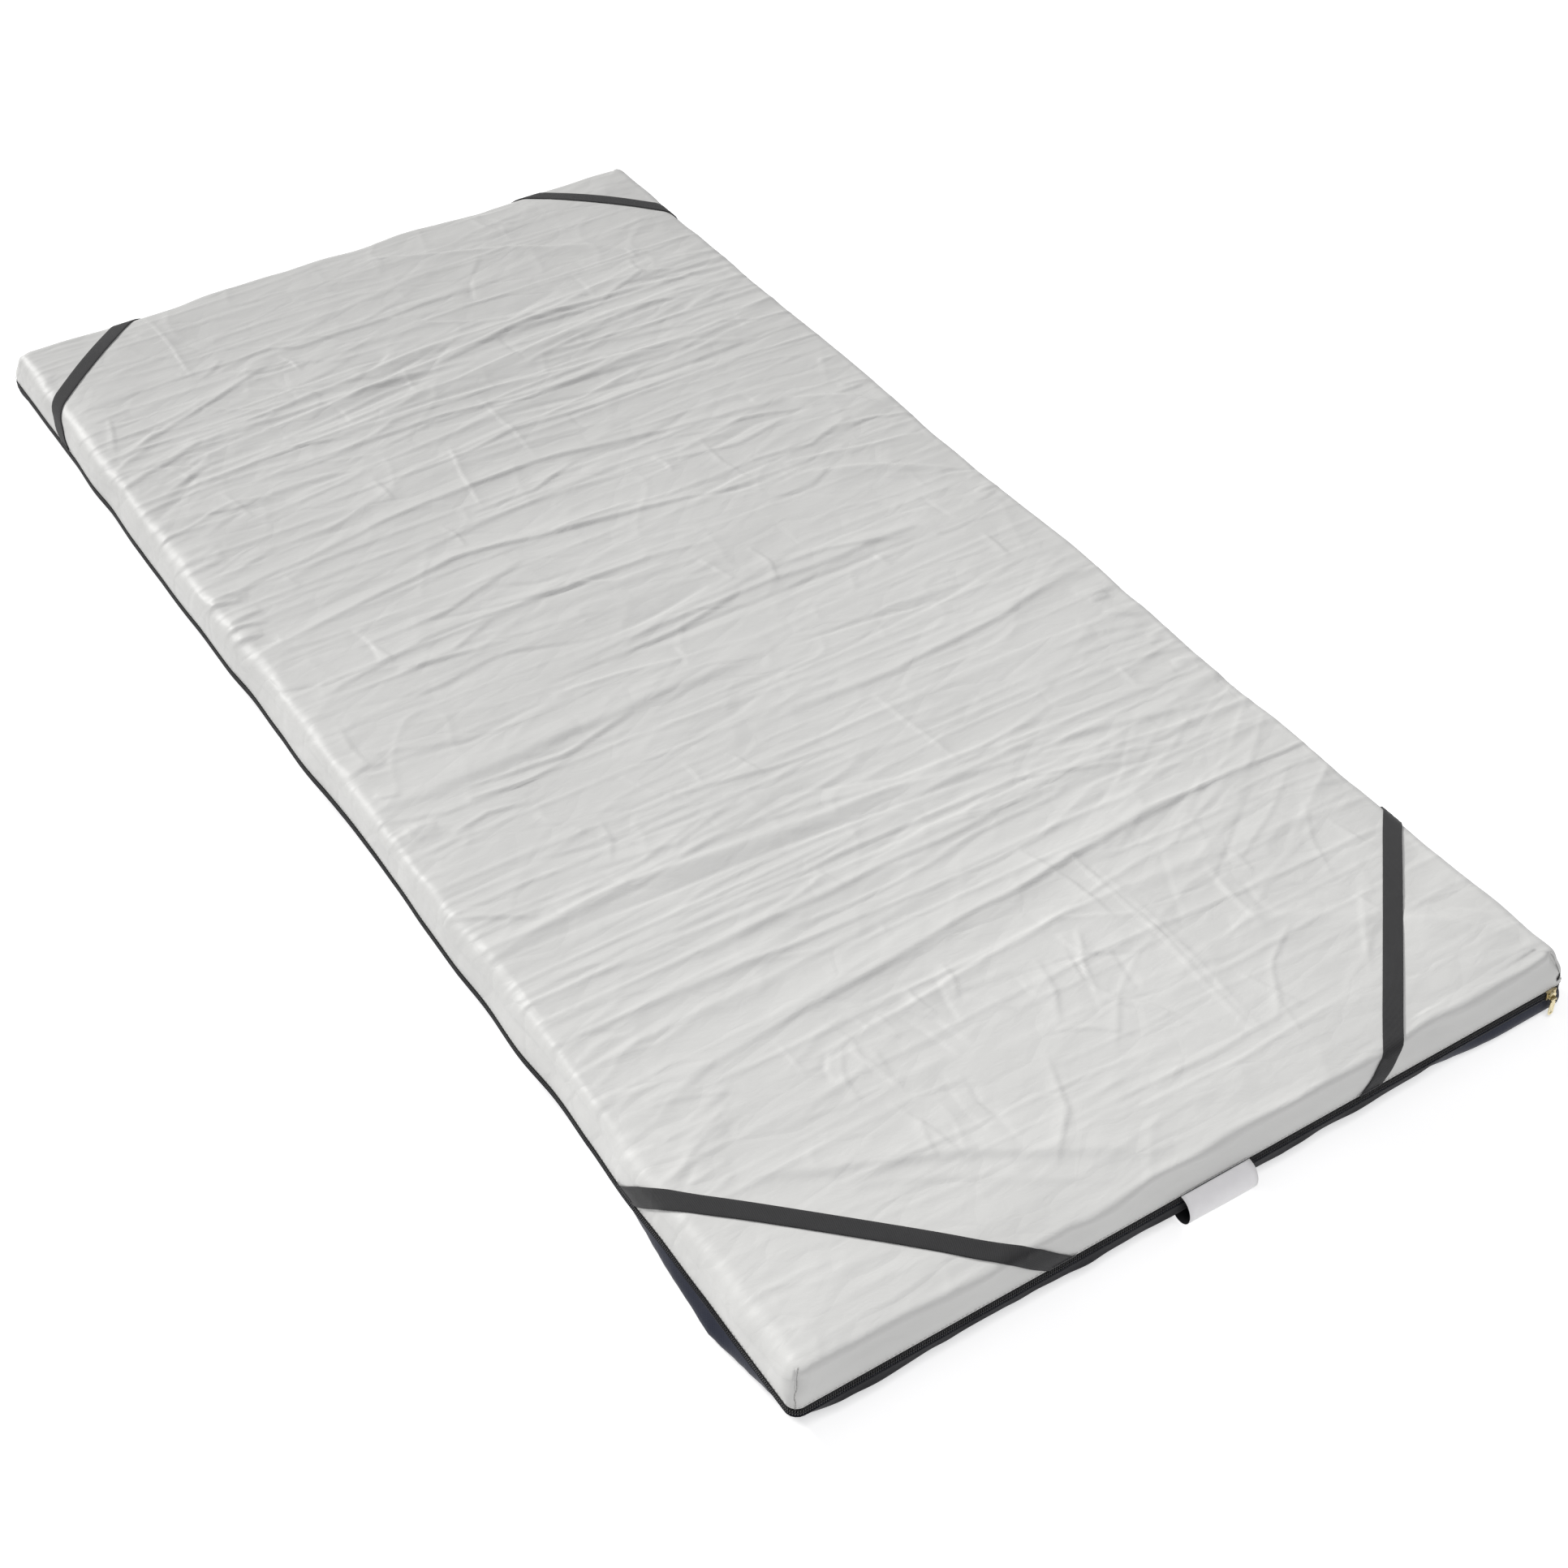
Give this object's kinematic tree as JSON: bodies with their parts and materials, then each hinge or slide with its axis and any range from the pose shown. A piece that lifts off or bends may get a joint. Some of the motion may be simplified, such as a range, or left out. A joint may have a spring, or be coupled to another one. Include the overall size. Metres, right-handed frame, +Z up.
{
  "type": "pressure relief mattress",
  "caption": "Thin foam pressure relief mattress lying face down: grey wrinkled base cover with elastic corner straps, navy patient side under a zip with brass slider.",
  "frame": {"origin": "centre of the flat patient face, which the mattress rests on in the stored pose", "axes": "+Z up through the mattress from the patient face to the base panel; +Y along the length, from the end with the label to the far end; +X along the short side"},
  "size_m": [0.9038, 1.9189, 0.0767],
  "materials": {
    "base_cover": "satin",
    "base_corner_seams": "matte",
    "top_cover": "matte",
    "foam_base_slab": "matte",
    "foam_castellated_layer": "matte",
    "zip_tape_base": "matte",
    "zip_tape_top": "matte",
    "zip_coil_base": "satin",
    "zip_coil_top": "satin",
    "zip_top_stops": "satin",
    "zip_bottom_stop": "satin",
    "zip_flap": "matte",
    "side_seam_tape": "matte",
    "strap_bar_tacks": "matte",
    "label_stitching": "matte",
    "zip_slider": "satin",
    "slider_crown": "polished",
    "puller_pin": "satin",
    "zip_puller": "polished",
    "strap_near_left": "matte",
    "strap_near_left_ends": "matte",
    "strap_near_right": "matte",
    "strap_near_right_ends": "matte",
    "strap_far_left": "matte",
    "strap_far_left_ends": "matte",
    "strap_far_right": "matte",
    "strap_far_right_ends": "matte",
    "care_label": "satin"
  },
  "bodies": {
    "mattress": {"base_cover": "base_cover", "base_corner_seams": "base_corner_seams", "top_cover": "top_cover", "foam_base_slab": "foam_base_slab", "foam_castellated_layer": "foam_castellated_layer", "zip_tape_base": "zip_tape_base", "zip_tape_top": "zip_tape_top", "zip_coil_base": "zip_coil_base", "zip_coil_top": "zip_coil_top", "zip_top_stops": "zip_top_stops", "zip_bottom_stop": "zip_bottom_stop", "zip_flap": "zip_flap", "side_seam_tape": "side_seam_tape", "strap_bar_tacks": "strap_bar_tacks", "label_stitching": "label_stitching"},
    "slider": {"zip_slider": "zip_slider"},
    "crown": {"slider_crown": "slider_crown", "puller_pin": "puller_pin"},
    "puller": {"zip_puller": "zip_puller"},
    "label": {"care_label": "care_label"},
    "strap_near_left": {"strap_near_left": "strap_near_left", "strap_near_left_ends": "strap_near_left_ends"},
    "strap_near_right": {"strap_near_right": "strap_near_right", "strap_near_right_ends": "strap_near_right_ends"},
    "strap_far_left": {"strap_far_left": "strap_far_left", "strap_far_left_ends": "strap_far_left_ends"},
    "strap_far_right": {"strap_far_right": "strap_far_right", "strap_far_right_ends": "strap_far_right_ends"}
  },
  "joints": [
    {"name": "zip_slide", "type": "slide", "parent": "mattress", "child": "slider", "axis": [-1, 0, 0], "range_m": [0, 0.858]},
    {"name": "crown_swivel", "type": "hinge", "parent": "slider", "child": "crown", "pos_m": [0.4292, -0.9533, 0.029], "axis": [0, -1, 0], "range_deg": [-80, 80]},
    {"name": "pull_tab_hinge", "type": "hinge", "parent": "crown", "child": "puller", "pos_m": [0.4292, -0.9568, 0.0262], "axis": [-1, 0, 0], "range_deg": [-5, 110]},
    {"name": "label_hinge", "type": "hinge", "parent": "mattress", "child": "label", "pos_m": [0.006, -0.9512, 0.0353], "axis": [-1, 0, 0], "range_deg": [0, 75]},
    {"name": "strap_near_left_lift", "type": "slide", "parent": "mattress", "child": "strap_near_left", "axis": [0, 0, 1], "range_m": [0, 0.08], "stiffness_N_per_m": 60, "springref_m": -0.01, "deforming": ["strap_near_left_ends"]},
    {"name": "strap_near_right_lift", "type": "slide", "parent": "mattress", "child": "strap_near_right", "axis": [0, 0, 1], "range_m": [0, 0.08], "stiffness_N_per_m": 60, "springref_m": -0.01, "deforming": ["strap_near_right_ends"]},
    {"name": "strap_far_left_lift", "type": "slide", "parent": "mattress", "child": "strap_far_left", "axis": [0, 0, 1], "range_m": [0, 0.08], "stiffness_N_per_m": 60, "springref_m": -0.01, "deforming": ["strap_far_left_ends"]},
    {"name": "strap_far_right_lift", "type": "slide", "parent": "mattress", "child": "strap_far_right", "axis": [0, 0, 1], "range_m": [0, 0.08], "stiffness_N_per_m": 60, "springref_m": -0.01, "deforming": ["strap_far_right_ends"]}
  ]
}
